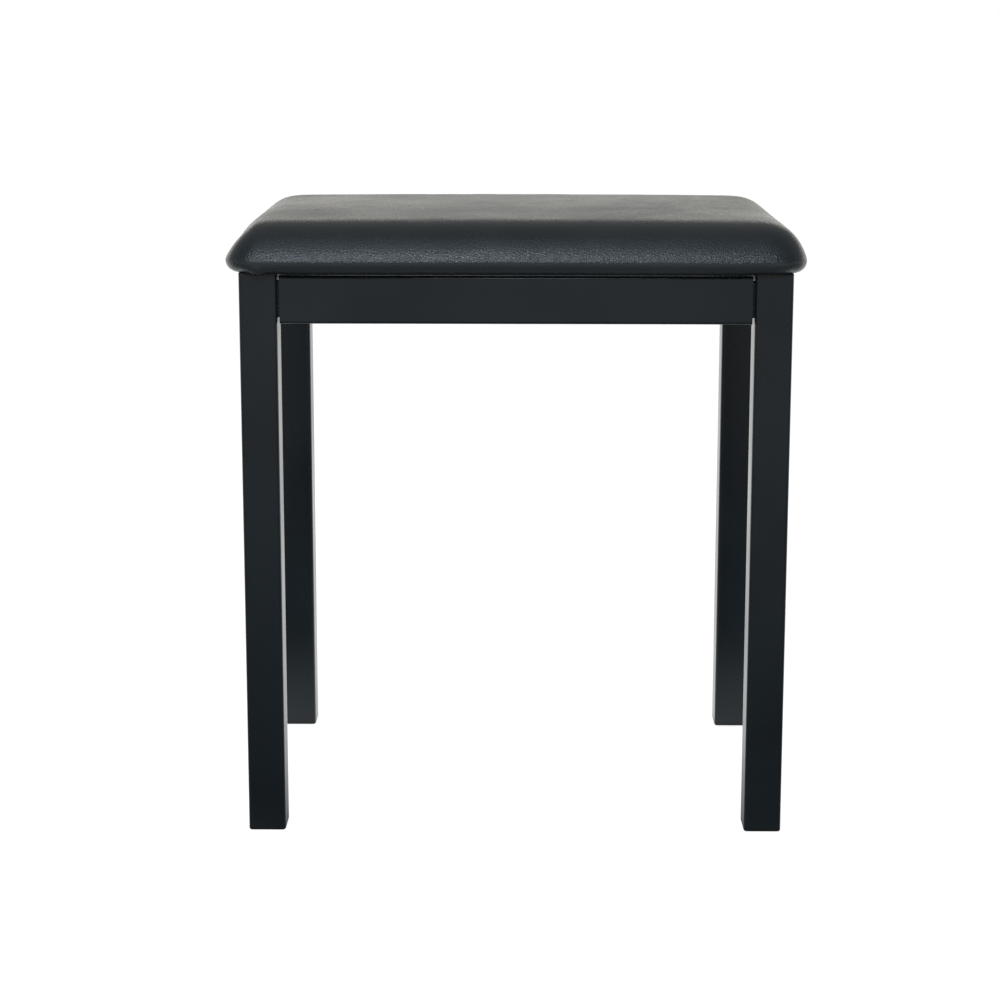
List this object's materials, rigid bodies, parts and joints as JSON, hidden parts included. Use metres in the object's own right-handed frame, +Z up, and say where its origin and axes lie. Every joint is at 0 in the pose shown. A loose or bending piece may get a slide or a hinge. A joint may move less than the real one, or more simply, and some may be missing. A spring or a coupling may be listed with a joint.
{
  "type": "piano bench",
  "caption": "Small piano bench with a padded black leathercloth seat on a black square-tube frame with straight legs and rails under the seat.",
  "frame": {"origin": "on the floor, under the middle of the bench", "axes": "+Z up, X along the bench's width, the front faces -Y"},
  "size_m": [0.459, 0.334, 0.5],
  "materials": {
    "frame_coating": "satin black powder coating on steel tube",
    "plug_plastic": "moulded black plastic with a fine matt texture",
    "leathercloth": "black embossed leathercloth with a fine pebble grain, semi-matt",
    "foam": "open-cell upholstery foam",
    "plywood": "unfinished plywood",
    "lining_cloth": "black spun-bonded lining cloth",
    "zinc_steel": "bright zinc plating",
    "black_bolt": "black oxide steel"
  },
  "bodies": {
    "root": {"leg_front_left": "frame_coating", "leg_front_right": "frame_coating", "leg_rear_left": "frame_coating", "leg_rear_right": "frame_coating", "foot_front_left": "plug_plastic", "foot_front_right": "plug_plastic", "foot_rear_left": "plug_plastic", "foot_rear_right": "plug_plastic", "leg_cap_front_left": "plug_plastic", "leg_cap_front_right": "plug_plastic", "leg_cap_rear_left": "plug_plastic", "leg_cap_rear_right": "plug_plastic", "rail_front": "frame_coating", "rail_rear": "frame_coating", "rail_left": "frame_coating", "rail_right": "frame_coating", "weld_front_left": "frame_coating", "weld_front_right": "frame_coating", "weld_rear_left": "frame_coating", "weld_rear_right": "frame_coating", "connector_front_left": "plug_plastic", "connector_front_right": "plug_plastic", "connector_rear_left": "plug_plastic", "connector_rear_right": "plug_plastic", "connector_nut_front_left": "zinc_steel", "connector_nut_front_right": "zinc_steel", "connector_nut_rear_left": "zinc_steel", "connector_nut_rear_right": "zinc_steel", "frame_bolt_front_left": "black_bolt", "frame_bolt_front_right": "black_bolt", "frame_bolt_rear_left": "black_bolt", "frame_bolt_rear_right": "black_bolt", "seat_board": "plywood", "seat_foam": "foam", "seat_cover": "leathercloth", "seat_lining": "lining_cloth", "seat_screw_front_left": "zinc_steel", "seat_screw_front_right": "zinc_steel", "seat_screw_rear_left": "zinc_steel", "seat_screw_rear_right": "zinc_steel", "seat_washer_front_left": "zinc_steel", "seat_washer_front_right": "zinc_steel", "seat_washer_rear_left": "zinc_steel", "seat_washer_rear_right": "zinc_steel", "seat_spacer_front_left": "plug_plastic", "seat_spacer_front_right": "plug_plastic", "seat_spacer_rear_left": "plug_plastic", "seat_spacer_rear_right": "plug_plastic", "seat_tee_nut_front_left": "zinc_steel", "seat_tee_nut_front_right": "zinc_steel", "seat_tee_nut_rear_left": "zinc_steel", "seat_tee_nut_rear_right": "zinc_steel"}
  },
  "joints": []
}
